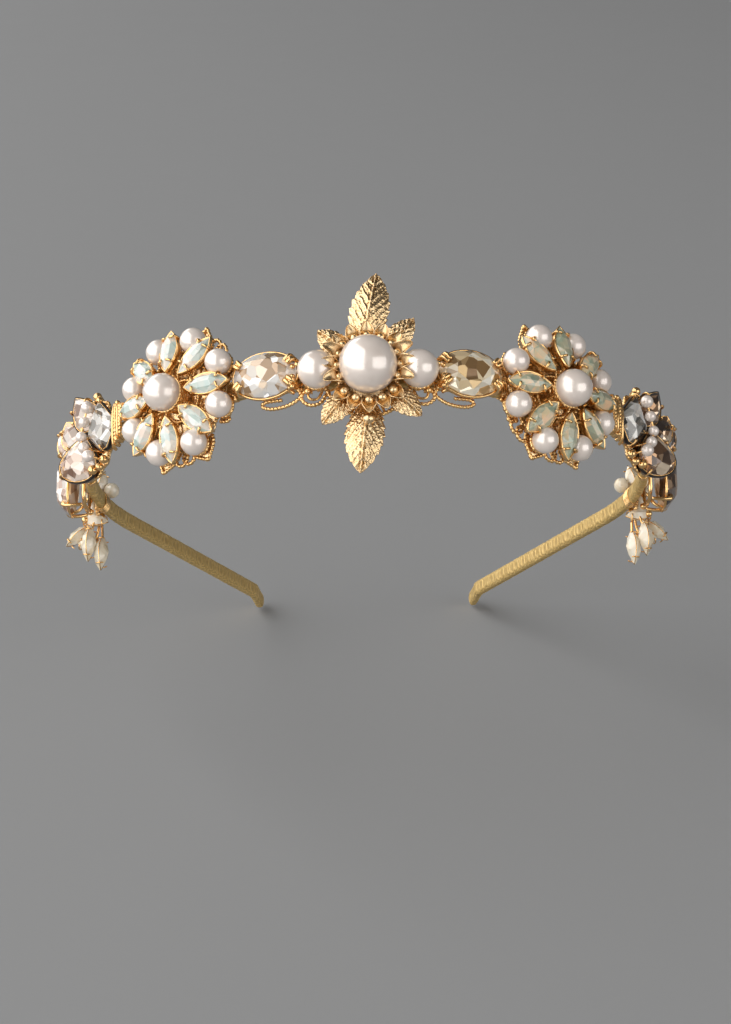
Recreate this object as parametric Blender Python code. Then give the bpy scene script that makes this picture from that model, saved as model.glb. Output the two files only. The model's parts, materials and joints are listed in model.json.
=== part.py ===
"""Bridal tiara: a thread-wrapped spring band that carries a pearl and leaf centrepiece, oval
crystals, two pearl flowers and, at the sides, clusters of pear crystals, octagon crystals and sprays.

The tiara is drawn flat and then leaned on the tips of its arms. In the flat frame +X runs to the
right as seen from the front, +Y from the front towards the tips, and +Z up the band's width.
Each ornament has a local frame on the band: X along it, Y up, Z straight out from the head.
Lengths are in millimetres, and MM turns them into metres. Angles are in degrees.
"""

import bmesh
import bpy
from math import cos, degrees, exp, hypot, pi, radians, sin
from mathutils import Matrix, Vector

MM = 0.001
GAP = 0.3

# Stance: the plane of the band leans this far up from the table.
LEAN = 44.0

# Band: a circular front, straight arms that carry on along its ends, and tips bent back outwards.
BAND_R = 64.3
BAND_THICK = 2.3
BAND_WIDTH = 4.0
CORE_THICK = 0.8
CORE_WIDTH = 2.6
ARC_END = 115.0
ARM_LENGTH = 65.5
TIP_LENGTH = 11.0
TIP_TURN = 18.0
FLEX_AT = 113.0
FRONT_FACETS = 41

# Heights above the band's mid-line, in an ornament's own frame.
BACK = BAND_THICK / 2 + GAP
PLATE = 0.7
PLATE_TOP = BACK + PLATE

# Centrepiece.
CENTER_PEARL = 12.0
SIDE_PEARL = 8.0
SIDE_PEARL_X = 10.5
SIDE_PEARL_Y = -0.3
LEAF_THICK = 0.6
LARGE_LEAVES = {"leaf_top": (5.0, 85.0, 22.5, 8.0), "leaf_bottom": (5.0, 265.3, 21.8, 8.0)}
SMALL_LEAVES = {
    "leaf_upper_left": (5.0, 138.0, 13.8, 5.4),
    "leaf_upper_right": (5.0, 50.5, 15.2, 5.4),
    "leaf_lower_left": (5.0, 230.5, 14.8, 5.4),
    "leaf_lower_right": (5.0, 318.0, 14.6, 5.4),
}
PETALS = 12
PETAL_RING_R = 7.9

# Oval crystals and octagon crystals, each in an open bezel.
OVAL_AT = 17.9
OVAL_RISE = 0.6
OVAL_LENGTH = 14.0
OVAL_WIDTH = 10.0
OCTAGON_AT = 93.0
OCTAGON_LENGTH = 14.0
OCTAGON_WIDTH = 10.0
BEZEL_WALL = 0.5

# Flowers.
FLOWER_AT = 36.2
FLOWER_TURN = 1.5
FLOWER_PEARL_RISE = 9.0
FLOWER_PLATE_R = 15.0
FLOWER_TIPS = 16
FLOWER_TRIM = 13.4
FLOWER_PETALS = 8
NAVETTE_LENGTH = 10.0
NAVETTE_WIDTH = 4.4
NAVETTE_R = 10.0
NAVETTE_RISE = 6.7
NAVETTE_TILT = 12.0
RIM_PEARL = 5.6
RIM_PEARL_R = 12.4

# Side clusters: a flat plate wired to the band at one end, with stones each side of a pearl string.
CLUSTER_AT = 53.0
CLUSTER_X = 12.0
STRING_PEARL = 2.8
STRING_RISE = 7.3
STRING_BEADS = ((6.8, 4.9), (8.0, 1.8), (9.1, -1.3), (7.9, -4.2), (5.9, -6.7))
PEARS = {
    "pear_inner": (4.4, 0.6, 9.4, 5.2, 84.0, -18.0, 4.4),
    "pear_upper": (14.8, 5.9, 8.0, 5.6, 20.0, 12.0, 4.4),
    "pear_lower": (15.8, -5.6, 10.0, 7.4, -8.0, 12.0, 4.8),
}

# Sprays behind the octagon crystals: the angle of each petal, and how far out its middle is.
SPRAY_AT = 104.0
SPRAY_PETALS = ((45.0, 6.5), (90.0, 6.5), (135.0, 6.5), (225.0, 6.5), (270.0, 6.5), (315.0, 6.5),
                (266.0, 12.0))
SPRAY_PETAL_LENGTH = 9.0
SPRAY_PETAL_WIDTH = 4.0
SPRAY_HUB = 5.2
SPRAY_RISE = 4.2

FINISHES = {
    "gold": ((0.83, 0.60, 0.28), 0.25, 1.0),
    "thread": ((0.72, 0.55, 0.30), 0.45, 0.7),
    "spring_steel": ((0.55, 0.54, 0.52), 0.35, 1.0),
    "pearl": ((0.92, 0.88, 0.82), 0.18, 0.0),
    "opal": ((0.78, 0.84, 0.78), 0.12, 0.0),
    "golden_crystal": ((0.72, 0.52, 0.32), 0.05, 0.0),
    "clear_crystal": ((0.88, 0.88, 0.90), 0.05, 0.0),
    "rose_crystal": ((0.84, 0.62, 0.50), 0.05, 0.0),
    "brown_crystal": ((0.52, 0.40, 0.35), 0.05, 0.0),
}


def clear_scene():
    """Start from an empty scene."""
    for thing in list(bpy.data.objects):
        bpy.data.objects.remove(thing)


def collection(name):
    """A collection linked into the scene."""
    group = bpy.data.collections.new(name)
    bpy.context.scene.collection.children.link(group)
    return group


def finish(name):
    """The plain material of one kind of piece, made once."""
    if name in bpy.data.materials:
        return bpy.data.materials[name]
    colour, roughness, metallic = FINISHES[name]
    material = bpy.data.materials.new(name)
    material.use_nodes = True
    shader = material.node_tree.nodes["Principled BSDF"]
    shader.inputs["Base Color"].default_value = (*colour, 1.0)
    shader.inputs["Roughness"].default_value = roughness
    shader.inputs["Metallic"].default_value = metallic
    return material


def add_empty(name, parent, place):
    """An empty at a place in its parent's frame."""
    empty = bpy.data.objects.new(name, None)
    parts.objects.link(empty)
    empty.parent = parent
    empty.location = place * MM
    return empty


def add_piece(name, mesh, material, frame, parent=None):
    """One named piece of the tiara, placed in its parent's frame."""
    piece = bpy.data.objects.new(name, mesh)
    parts.objects.link(piece)
    mesh.materials.append(finish(material))
    piece.parent = parent or stand
    piece.matrix_local = frame
    return piece


def add_tool(name, mesh, frame):
    """A guide that is joined to a piece or cut from it, and not shown."""
    tool = bpy.data.objects.new(name, mesh)
    guides.objects.link(tool)
    tool.parent = stand
    tool.matrix_local = frame
    tool.hide_render = True
    tool.display_type = "WIRE"
    return tool


def combine(piece, tool, operation):
    """Join a guide to a piece, or cut it away."""
    boolean = piece.modifiers.new(tool.name, "BOOLEAN")
    boolean.operation = operation
    boolean.solver = "EXACT"
    boolean.use_self = operation == "UNION"
    boolean.object = tool


def shift(x, y, z=0.0):
    """A move by millimetres."""
    return Matrix.Translation(Vector((x, y, z)) * MM)


def turn(angle, axis):
    """A turn by degrees about a frame's own axis."""
    return Matrix.Rotation(radians(angle), 4, axis)


def band_point(angle):
    """A point on the mid-line of the band's round front."""
    a = radians(angle)
    return Vector((BAND_R * sin(a), BAND_R * (1 - cos(a)), 0))


def band_frame(angle, rise=0.0):
    """An ornament's frame on the band: X along it, Y up its width, Z straight out."""
    place = band_point(angle) + Vector((0, 0, rise))
    return Matrix.Translation(place * MM) @ turn(angle, "Z") @ turn(90, "X")


def curve_mesh(name, curve):
    """The welded mesh of a curve, so that it can be cut or joined."""
    shape = bpy.data.objects.new(name, curve)
    guides.objects.link(shape)
    bpy.context.view_layer.update()
    evaluated = shape.evaluated_get(bpy.context.evaluated_depsgraph_get())
    mesh = bpy.data.meshes.new_from_object(evaluated)
    bpy.data.objects.remove(shape)
    bm = bmesh.new()
    bm.from_mesh(mesh)
    bmesh.ops.remove_doubles(bm, verts=bm.verts, dist=0.000001)
    bmesh.ops.recalc_face_normals(bm, faces=bm.faces)
    bm.to_mesh(mesh)
    bm.free()
    return mesh


def flat_mesh(name, outlines, low, high):
    """A flat piece cut to the first outline, with the others as holes, between two heights."""
    curve = bpy.data.curves.new(name, "CURVE")
    curve.dimensions = "2D"
    curve.fill_mode = "BOTH"
    curve.extrude = (high - low) / 2 * MM
    for outline in outlines:
        spline = curve.splines.new("POLY")
        spline.points.add(len(outline) - 1)
        for point, (x, y) in zip(spline.points, outline):
            point.co = (x * MM, y * MM, 0, 1)
        spline.use_cyclic_u = True
    mesh = curve_mesh(name, curve)
    mesh.transform(shift(0, 0, (low + high) / 2))
    return mesh


def wire_mesh(name, places, diameter):
    """A round wire through the given places."""
    curve = bpy.data.curves.new(name, "CURVE")
    curve.dimensions = "3D"
    curve.bevel_depth = diameter / 2 * MM
    curve.bevel_resolution = 0
    curve.use_fill_caps = True
    spline = curve.splines.new("POLY")
    spline.points.add(len(places) - 1)
    for point, place in zip(spline.points, places):
        point.co = (*(Vector(place) * MM), 1)
    return curve_mesh(name, curve)


def ball_mesh(name, diameter, places=((0, 0, 0),), detail=2):
    """One ball, or several that don't touch, at the given places."""
    bm = bmesh.new()
    for place in places:
        bmesh.ops.create_icosphere(
            bm, subdivisions=detail, radius=diameter / 2 * MM, matrix=shift(*place))
    mesh = bpy.data.meshes.new(name)
    bm.to_mesh(mesh)
    bm.free()
    mesh.shade_smooth()
    return mesh


def stone_mesh(name, rims, levels):
    """Cut stones: each rim outline is scaled and raised level by level, from culet to table."""
    bm = bmesh.new()
    for frame, rim in rims:
        scale, height = levels[0]
        corners = [bm.verts.new((x * scale, y * scale, height)) for x, y in rim]
        face = bm.faces.new(corners)
        added = list(corners)
        for level, (next_scale, next_height) in enumerate(levels[1:]):
            lifted = bmesh.ops.extrude_face_region(bm, geom=[face])["geom"]
            if level:
                bm.faces.remove(face)
            face = next(item for item in lifted if isinstance(item, bmesh.types.BMFace))
            for vert in face.verts:
                grow = next_scale / scale
                vert.co = (vert.co.x * grow, vert.co.y * grow, next_height)
            added.extend(face.verts)
            scale = next_scale
        bmesh.ops.scale(bm, vec=(MM, MM, MM), verts=added)
        bmesh.ops.transform(bm, matrix=frame, verts=added)
    bmesh.ops.recalc_face_normals(bm, faces=bm.faces)
    mesh = bpy.data.meshes.new(name)
    bm.to_mesh(mesh)
    bm.free()
    return mesh


def oval(length, width, points):
    """An ellipse."""
    turns = [2 * pi * i / points for i in range(points)]
    return [(length / 2 * cos(a), width / 2 * sin(a)) for a in turns]


def octagon(length, width, corner=2.8):
    """A rectangle with cut corners, its length up the band's width."""
    x, y = width / 2, length / 2
    return [(x, y - corner), (x - corner, y), (corner - x, y), (-x, y - corner),
            (-x, corner - y), (corner - x, -y), (x - corner, -y), (x, corner - y)]


def navette(length, width, steps=5):
    """A pointed boat shape between two shallow arcs."""
    upper = []
    for i in range(steps):
        x = length * (i / steps - 0.5)
        upper.append((x, width / 2 * (1 - (2 * x / length) ** 2)))
    return upper + [(-x, -y) for x, y in upper]


def pear(length, width, points=12):
    """A drop shape, pointed towards +X."""
    outline = []
    for i in range(points):
        a = 2 * pi * i / points
        outline.append((length / 2 * cos(a), width / 2 * 1.25 * sin(a) * abs(sin(a / 2))))
    return outline


def leaf(start, end, width, teeth):
    """A leaf along +X with a toothed edge."""
    length = end - start
    upper = []
    for i in range(1, teeth + 1):
        for along, spread in (((i - 0.35) / (teeth + 1), 0.78), (i / (teeth + 1), 1.0)):
            half = width / 2 * sin(pi * along ** 0.85)
            upper.append((start + length * along, half * spread))
    lower = [(x, -y) for x, y in reversed(upper)]
    return [(start, 0.0)] + upper + [(end, 0.0)] + lower


def lobed(radius, depth, lobes, points_per_lobe):
    """A round outline with pointed lobes."""
    points = lobes * points_per_lobe
    outline = []
    for i in range(points):
        a = 2 * pi * i / points
        r = radius + depth * (1 - 2 * abs(sin(lobes * a / 2)))
        outline.append((r * cos(a), r * sin(a)))
    return outline


def bulged(width, height, points, bulges):
    """An ellipse that swells outwards by a given amount around given angles."""
    outline = []
    for i in range(points):
        angle = 360.0 * i / points
        a = radians(angle)
        r = 1 / hypot(cos(a) / (width / 2), sin(a) / (height / 2))
        for middle, spread, amount in bulges:
            away = (angle - middle + 180) % 360 - 180
            r += amount * exp(-(away / spread) ** 2)
        outline.append((r * cos(a), r * sin(a)))
    return outline


def arm_path(start):
    """The right arm's mid-line from an angle on the arc to the tip."""
    steps = 3
    path = [band_point(start + (ARC_END - start) * i / steps).to_2d() for i in range(steps + 1)]
    for length, heading in ((ARM_LENGTH, ARC_END), (TIP_LENGTH, ARC_END - TIP_TURN)):
        a = radians(heading)
        path.append(path[-1] + length * Vector((cos(a), sin(a))))
    return path


def front_path(end):
    """The mid-line of the band's front, between an angle on the left and the same on the right."""
    return [band_point(end * (2 * i / FRONT_FACETS - 1)).to_2d() for i in range(FRONT_FACETS + 1)]


def strip(path, thick):
    """The two edges of a strip of even thickness along a path, both from start to end."""
    edges = ([], [])
    for i, point in enumerate(path):
        before = (point - path[i - 1]).normalized() if i else None
        after = (path[i + 1] - point).normalized() if i + 1 < len(path) else before
        before = before or after
        middle = (before + after).normalized()
        half = thick / 2 / middle.dot(before)
        side = Vector((middle.y, -middle.x)) * half
        edges[0].append(tuple(point + side))
        edges[1].append(tuple(point - side))
    return edges


def round_end(centre, radius, start, end, steps):
    """Points along an arc about a centre, between two angles."""
    arc = []
    for i in range(steps + 1):
        a = radians(start + (end - start) * i / steps)
        arc.append((centre.x + radius * cos(a), centre.y + radius * sin(a)))
    return arc


def mirror(outline):
    """The same outline on the left side."""
    return [(-x, y) for x, y in reversed(outline)]


def make_front_band():
    """The wrapped sleeve round the spring strip. Each end is hollowed to take an arm's round end."""
    reach = degrees(BAND_THICK / 2 / BAND_R)
    socket = BAND_THICK / 2 + GAP
    outer, inner = strip(front_path(FLEX_AT - reach), BAND_THICK)
    pivot = band_point(FLEX_AT)
    half = 50.0
    right = round_end(pivot, socket, FLEX_AT + 180 + half, FLEX_AT + 180 - half, 6)
    outline = outer[1:-1] + right + inner[-2:0:-1] + mirror(right)
    sleeve = add_piece(
        "band_wrap_front",
        flat_mesh("band_wrap_front", [outline], -BAND_WIDTH / 2, BAND_WIDTH / 2),
        "thread", Matrix.Identity(4))
    core_end = FLEX_AT - degrees((socket + GAP) / BAND_R)
    channel = strip(front_path(FLEX_AT), CORE_THICK + 2 * GAP)
    cut = flat_mesh("front_channel", [channel[0] + channel[1][::-1]],
                    -CORE_WIDTH / 2 - GAP, CORE_WIDTH / 2 + GAP)
    combine(sleeve, add_tool("front_channel", cut, Matrix.Identity(4)), "DIFFERENCE")
    edges = strip(front_path(core_end), CORE_THICK)
    core = flat_mesh("band_core_front", [edges[0] + edges[1][::-1]],
                     -CORE_WIDTH / 2, CORE_WIDTH / 2)
    add_piece("band_core_front", core, "spring_steel", Matrix.Identity(4))


def make_arm(side, sign):
    """An arm's sleeve and the spring strip in it. The arm turns about its round front end."""
    pivot = band_point(FLEX_AT)
    hinge = add_empty("flex_" + side, stand, Vector((sign * pivot.x, pivot.y, 0)))
    frame = shift(-sign * pivot.x, -pivot.y)
    outer, inner = strip(arm_path(FLEX_AT), BAND_THICK)
    knuckle = round_end(pivot, BAND_THICK / 2, FLEX_AT + 90, FLEX_AT + 270, 8)
    shapes = {"arm_wrap_": knuckle + outer[1:] + inner[:0:-1]}
    core_start = FLEX_AT + 1.2
    edges = strip(arm_path(core_start + degrees(GAP / BAND_R)), CORE_THICK)
    shapes["arm_core_"] = edges[0] + edges[1][::-1]
    path = arm_path(core_start)
    path[-1] += (path[-1] - path[-2]).normalized()
    edges = strip(path, CORE_THICK + 2 * GAP)
    shapes["arm_channel_"] = edges[0] + edges[1][::-1]
    if sign < 0:
        shapes = {key: mirror(outline) for key, outline in shapes.items()}
    half = {"arm_wrap_": BAND_WIDTH / 2, "arm_core_": CORE_WIDTH / 2,
            "arm_channel_": CORE_WIDTH / 2 + GAP}
    meshes = {key: flat_mesh(key + side, [outline], -half[key], half[key])
              for key, outline in shapes.items()}
    sleeve = add_piece("arm_wrap_" + side, meshes["arm_wrap_"], "thread", frame, hinge)
    channel = add_tool("arm_channel_" + side, meshes["arm_channel_"], Matrix.Identity(4))
    combine(sleeve, channel, "DIFFERENCE")
    add_piece("arm_core_" + side, meshes["arm_core_"], "spring_steel", frame, hinge)


def make_centre():
    """Backing plate, leaves, petal ring, the large pearl with one each side, and the drop bead."""
    frame = band_frame(0)
    backing = bulged(18.4, 18.4, 48, ((0, 16, 3.6), (180, 16, 3.6)))
    add_piece("center_backing", flat_mesh("center_backing", [backing], BACK, PLATE_TOP),
              "gold", frame)
    low = PLATE_TOP + GAP
    for leaves, teeth in ((LARGE_LEAVES, 7), (SMALL_LEAVES, 5)):
        for name, (start, angle, end, width) in leaves.items():
            blade = flat_mesh(name, [leaf(start, end, width, teeth)], low, low + LEAF_THICK)
            add_piece(name, blade, "gold", frame @ turn(angle, "Z"))
        low += LEAF_THICK + GAP
    pearl_rise = PLATE_TOP + GAP + CENTER_PEARL / 2
    ring_top = low + 1.8
    hole = (CENTER_PEARL / 2) ** 2 - (pearl_rise - ring_top) ** 2
    hole = 2 * (hole ** 0.5 + GAP)
    petals = [lobed(PETAL_RING_R, 0.45, PETALS, 4), oval(hole, hole, 24)]
    ring = add_piece("petal_ring", flat_mesh("petal_ring", petals, low, ring_top), "gold", frame)
    add_piece("center_pearl", ball_mesh("center_pearl", CENTER_PEARL, detail=3), "pearl",
              frame @ shift(0, 0, pearl_rise))
    side_rise = PLATE_TOP + GAP + SIDE_PEARL / 2
    room = ball_mesh("side_pearl_room", SIDE_PEARL + 2 * GAP,
                     [(sign * SIDE_PEARL_X, SIDE_PEARL_Y, side_rise) for _, sign in SIDES], 3)
    combine(ring, add_tool("side_pearl_room", room, frame), "DIFFERENCE")
    for side, sign in SIDES:
        add_piece("side_pearl_" + side, ball_mesh("side_pearl", SIDE_PEARL, detail=3), "pearl",
                  frame @ shift(sign * SIDE_PEARL_X, SIDE_PEARL_Y, side_rise))
    bead_rise = PLATE_TOP + LEAF_THICK + 2 * GAP + 1.3
    bead = ball_mesh("drop_bead", 2.6)
    bead.transform(Matrix.Scale(1.4, 4, (0, 1, 0)))
    add_piece("drop_bead", bead, "gold", frame @ shift(0, -10.6, bead_rise))


def make_bezel_stone(names, frame, outline, length, width, finish_name, bezel_top, table):
    """A crystal whose lower half hangs in an open bezel."""
    wall = BEZEL_WALL + 2 * GAP
    rings = [outline(length + wall, width + wall), outline(length - 2 * GAP + 0.2, width - 2 * GAP + 0.2)]
    add_piece(names[0], flat_mesh(names[0], rings, BACK, bezel_top), "gold", frame)
    girdle = bezel_top + GAP
    levels = ((0.35, BACK + 0.4), (1.0, girdle), (1.0, girdle + 0.4), (0.62, table))
    rim = outline(length, width)
    stone = stone_mesh(names[1], [(Matrix.Identity(4), rim)], levels)
    add_piece(names[1], stone, finish_name, frame)


def make_flower(side, sign):
    """A plate with a centre pearl, rim pearls wired to a thin disc, and a star of navettes."""
    frame = band_frame(sign * FLOWER_AT)
    plate = [(max(x, -FLOWER_TRIM), y) for x, y in lobed(FLOWER_PLATE_R, 0.8, FLOWER_TIPS, 4)]
    if sign < 0:
        plate = mirror(plate)
    add_piece("flower_plate_" + side, flat_mesh("flower_plate", [plate], BACK, PLATE_TOP),
              "gold", frame)
    add_piece("flower_pearl_" + side, ball_mesh("flower_pearl", SIDE_PEARL, detail=3), "pearl",
              frame @ shift(0, 0, FLOWER_PEARL_RISE))
    step = 360.0 / FLOWER_PETALS
    rim = navette(NAVETTE_LENGTH, NAVETTE_WIDTH)
    levels = ((0.5, -1.3), (1.0, 0.0), (1.0, 0.4), (0.55, 1.4))
    for i in range(FLOWER_PETALS):
        place = (frame @ turn(step * i + FLOWER_TURN, "Z") @ shift(NAVETTE_R, 0, NAVETTE_RISE)
                 @ turn(NAVETTE_TILT, "Y"))
        name = f"navette_{side}_{i + 1}"
        add_piece(name, stone_mesh(name, [(Matrix.Identity(4), rim)], levels), "opal", place)
    rise = PLATE_TOP + GAP + RIM_PEARL / 2
    places = []
    for i in range(FLOWER_PETALS):
        a = radians(step * (i + 0.5) + FLOWER_TURN)
        places.append((RIM_PEARL_R * cos(a), RIM_PEARL_R * sin(a), rise))
    name = "rim_pearls_" + side
    low = PLATE_TOP + GAP + 0.2
    disc = flat_mesh(name, [oval(2 * RIM_PEARL_R, 2 * RIM_PEARL_R, 32)], low, low + 0.8)
    disc = add_piece(name, disc, "pearl", frame)
    pearls = add_tool(name + "_beads", ball_mesh(name, RIM_PEARL, places), frame)
    combine(disc, pearls, "UNION")


def make_cluster(side, sign):
    """A plate wired to the band beside the flower, three pear crystals and a string of pearls."""
    frame = band_frame(sign * CLUSTER_AT)
    outline = bulged(16.4, 19.0, 40, ((180, 17, 5.4),))
    plate = [(x + CLUSTER_X, y) for x, y in outline]
    if sign < 0:
        plate = mirror(plate)
    name = "cluster_plate_" + side
    add_piece(name, flat_mesh(name, [plate], BACK, PLATE_TOP), "gold", frame)
    finishes = {"pear_inner": "clear_crystal", "pear_upper": "rose_crystal",
                "pear_lower": "rose_crystal"}
    levels = ((0.45, -1.4), (1.0, 0.0), (1.0, 0.4), (0.55, 1.9))
    for key, (x, y, length, width, heading, tilt, rise) in PEARS.items():
        rim = pear(length, width)
        place = (frame @ shift(sign * x, y, rise) @ turn(sign * tilt, "Y")
                 @ turn(90 - sign * (90 - heading), "Z"))
        name = f"{key}_{side}"
        add_piece(name, stone_mesh(name, [(Matrix.Identity(4), rim)], levels), finishes[key], place)
    places = [(sign * x, y, STRING_RISE) for x, y in STRING_BEADS]
    name = "pearl_string_" + side
    string = add_piece(name, wire_mesh(name, places, 0.6), "pearl", frame)
    combine(string, add_tool(name + "_beads", ball_mesh(name, STRING_PEARL, places), frame), "UNION")


def make_spray(side, sign):
    """Navettes that fan out above and below the band from one hub."""
    frame = band_frame(sign * SPRAY_AT)
    name = "spray_" + side
    hub = add_piece(name, ball_mesh(name, SPRAY_HUB), "opal", frame @ shift(0, 0, SPRAY_RISE))
    rim = navette(SPRAY_PETAL_LENGTH, SPRAY_PETAL_WIDTH)
    rims = [(turn(angle, "Z") @ shift(out, 0), rim) for angle, out in SPRAY_PETALS]
    levels = ((0.5, -1.1), (1.0, 0.0), (1.0, 0.4), (0.55, 1.2))
    petals = stone_mesh(name, rims, levels)
    combine(hub, add_tool(name + "_petals", petals, frame @ shift(0, 0, SPRAY_RISE)), "UNION")


def stand_on_tips():
    """Lean the tiara back on its tips, with the origin under the middle of its box."""
    stand.rotation_euler = (-radians(LEAN), 0, 0)
    bpy.context.view_layer.update()
    depsgraph = bpy.context.evaluated_depsgraph_get()
    corners = []
    for piece in parts.objects:
        if piece.type == "MESH":
            mesh = piece.evaluated_get(depsgraph).data
            corners.extend(piece.matrix_world @ vert.co for vert in mesh.vertices)
    low = Vector([min(corner[i] for corner in corners) for i in range(3)])
    high = Vector([max(corner[i] for corner in corners) for i in range(3)])
    stand.location = (-(low.x + high.x) / 2, -(low.y + high.y) / 2, -low.z)


SIDES = (("left", -1), ("right", 1))
clear_scene()
parts = collection("bridal_tiara")
guides = collection("guides")
stand = bpy.data.objects.new("stand", None)
parts.objects.link(stand)

make_front_band()
make_centre()
for side_name, side_sign in SIDES:
    make_arm(side_name, side_sign)
    make_bezel_stone(
        ("oval_bezel_" + side_name, "oval_crystal_" + side_name),
        band_frame(side_sign * OVAL_AT, OVAL_RISE), lambda length, width: oval(length, width, 20),
        OVAL_LENGTH, OVAL_WIDTH, "golden_crystal", 4.2, 7.2)
    make_flower(side_name, side_sign)
    make_cluster(side_name, side_sign)
    make_bezel_stone(
        ("octagon_bezel_" + side_name, "octagon_crystal_" + side_name),
        band_frame(side_sign * OCTAGON_AT), octagon,
        OCTAGON_LENGTH, OCTAGON_WIDTH, "brown_crystal", 5.0, 8.6)
    make_spray(side_name, side_sign)
stand_on_tips()
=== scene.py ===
"""Looks for the bridal tiara: detailed gold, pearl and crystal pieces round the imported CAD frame.

Pieces are drawn in millimetres in the frames of part.py. In the flat frame of the band +X runs to
the right as seen from the front, +Y from the front towards the tips, and +Z up the band's width.
An ornament's own frame has X along the band, Y up its width and Z straight out from the head.
"""

import json
import random
from math import ceil, cos, hypot, pi, radians, sin, sqrt

import bmesh
import bpy
from mathutils import Euler, Matrix, Vector, noise


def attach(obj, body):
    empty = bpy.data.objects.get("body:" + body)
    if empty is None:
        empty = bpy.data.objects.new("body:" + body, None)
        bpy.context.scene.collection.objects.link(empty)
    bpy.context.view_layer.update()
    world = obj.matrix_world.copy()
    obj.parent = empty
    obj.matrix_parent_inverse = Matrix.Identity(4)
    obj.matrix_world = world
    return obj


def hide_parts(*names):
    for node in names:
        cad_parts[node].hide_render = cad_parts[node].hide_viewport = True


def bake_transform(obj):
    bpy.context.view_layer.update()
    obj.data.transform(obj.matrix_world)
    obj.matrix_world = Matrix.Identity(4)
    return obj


MM = 0.001

# Band, as in part.py.
BAND_WIDTH = 4.0
BAND_THICK = 2.3
ARC_END = 115.0
ARM_LENGTH = 65.5
TIP_LENGTH = 11.0
TIP_TURN = 18.0
FLEX_AT = 113.0
BACK = 1.45
PLATE_TOP = 2.15

# The middle ornament, as in part.py.
CENTER_PEARL = 12.0
SIDE_PEARL = 8.0
SIDE_PEARL_X = 10.5
SIDE_PEARL_Y = -0.3
# Each leaf: start, heading, end, width, side veins, height, and how far its foot sways.
LEAVES = {
    "leaf_top": (5.0, 85.0, 22.5, 8.2, 8, 2.75, 2.0),
    "leaf_bottom": (5.0, 265.3, 21.8, 8.2, 8, 2.75, 0.8),
    "leaf_upper_left": (5.0, 138.0, 13.8, 5.4, 6, 3.65),
    "leaf_upper_right": (5.0, 50.5, 15.2, 5.4, 6, 3.65),
    "leaf_lower_left": (5.0, 230.5, 14.8, 5.4, 6, 3.65),
    "leaf_lower_right": (5.0, 318.0, 14.6, 5.4, 6, 3.65),
}

# Crystals, flowers and sprays. An ..._AT is an angle round the band, and a ..._RISE a height.
OVAL_AT = 17.9
OVAL_RISE = 0.6
OVAL_LENGTH = 14.0
OVAL_WIDTH = 10.0
OCTAGON_AT = 93.0
OCTAGON_LENGTH = 14.0
OCTAGON_WIDTH = 10.0
OCTAGON_RISE = 1.3
FLOWER_AT = 36.2
FLOWER_TURN = 1.5
FLOWER_PEARL_RISE = 9.0
NAVETTE_LENGTH = 10.0
NAVETTE_WIDTH = 4.4
NAVETTE_R = 10.0
NAVETTE_RISE = 6.7
NAVETTE_TILT = 12.0
RIM_PEARL = 5.6
RIM_PEARL_R = 12.4
CLUSTER_AT = 53.0
CLUSTER_X = 12.0
STRING_PEARL = 2.8
STRING_RISE = 7.3
STRING_BEADS = ((6.8, 4.9), (8.0, 1.8), (9.1, -1.3), (7.9, -4.2), (5.9, -6.7))
SPRAY_AT = 104.0
SPRAY_RISE = 4.2
SIDES = (("left", -1), ("right", 1))

# Rope wire, and where binding wire goes round the band: an angle and a number of turns.
ROPE = 0.38
ROPE_PITCH = 0.80
BINDINGS = ((8.5, 5), (26.0, 5), (46.5, 6), (71.0, 6), (84.0, 4), (100.5, 7))
BINDING_PITCH = 0.46

# The braid is parted here, ahead of the flex joints.
BRAID_SPLIT = 101.0
BRAID_PITCH = 2.9

# The camera and lens, in metres, degrees and millimetres.
CAMERA_AT = (-0.0032, -0.4744, 0.2837)
CAMERA_TURN = (64.737, 0.4266, -0.5371)
LENS = 77.5195
SENSOR = 36.0

# Lights square to the camera's view: degrees round to the right, distance, lift, width and height
# in metres, watts, and the side that shines.
LIGHT_AIM = Vector((0, 0, 0.09))
LIGHTS = (("window_left", -70.0, 1.1, 0.56, 3.30, 3.00, 72.0, 1),
          ("window_far_side", -70.0, 1.11, 0.56, 3.30, 3.00, 72.0, -1),
          ("softbox_right", 46.0, 1.5, 0.02, 1.60, 1.15, 11.0, 1))
GLOW_AT = Vector((-0.8, 1.5, 0.9))
GLOW_AIM = Vector((0.0, 1.0, 0.0))
GLOW_SIZE = 0.8
GLOW_POWER = 4.0
AMBIENT = 0.13
FLOOR_REACH = 6.0

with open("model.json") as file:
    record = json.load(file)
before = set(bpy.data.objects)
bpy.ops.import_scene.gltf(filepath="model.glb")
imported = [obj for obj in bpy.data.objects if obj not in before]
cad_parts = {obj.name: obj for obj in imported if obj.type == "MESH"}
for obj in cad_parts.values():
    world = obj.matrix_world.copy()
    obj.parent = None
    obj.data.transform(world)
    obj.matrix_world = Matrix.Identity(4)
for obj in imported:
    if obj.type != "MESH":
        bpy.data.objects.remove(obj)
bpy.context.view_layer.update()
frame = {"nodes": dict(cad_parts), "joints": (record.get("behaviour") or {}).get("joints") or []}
draw = random.Random(7)


# --- Frames ---------------------------------------------------------------------------------

def shift(x, y, z=0.0):
    """A move in millimetres."""
    return Matrix.Translation((x, y, z))


def turn(angle, axis):
    """A turn by degrees about a frame's own axis."""
    return Matrix.Rotation(radians(angle), 4, axis)


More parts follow.
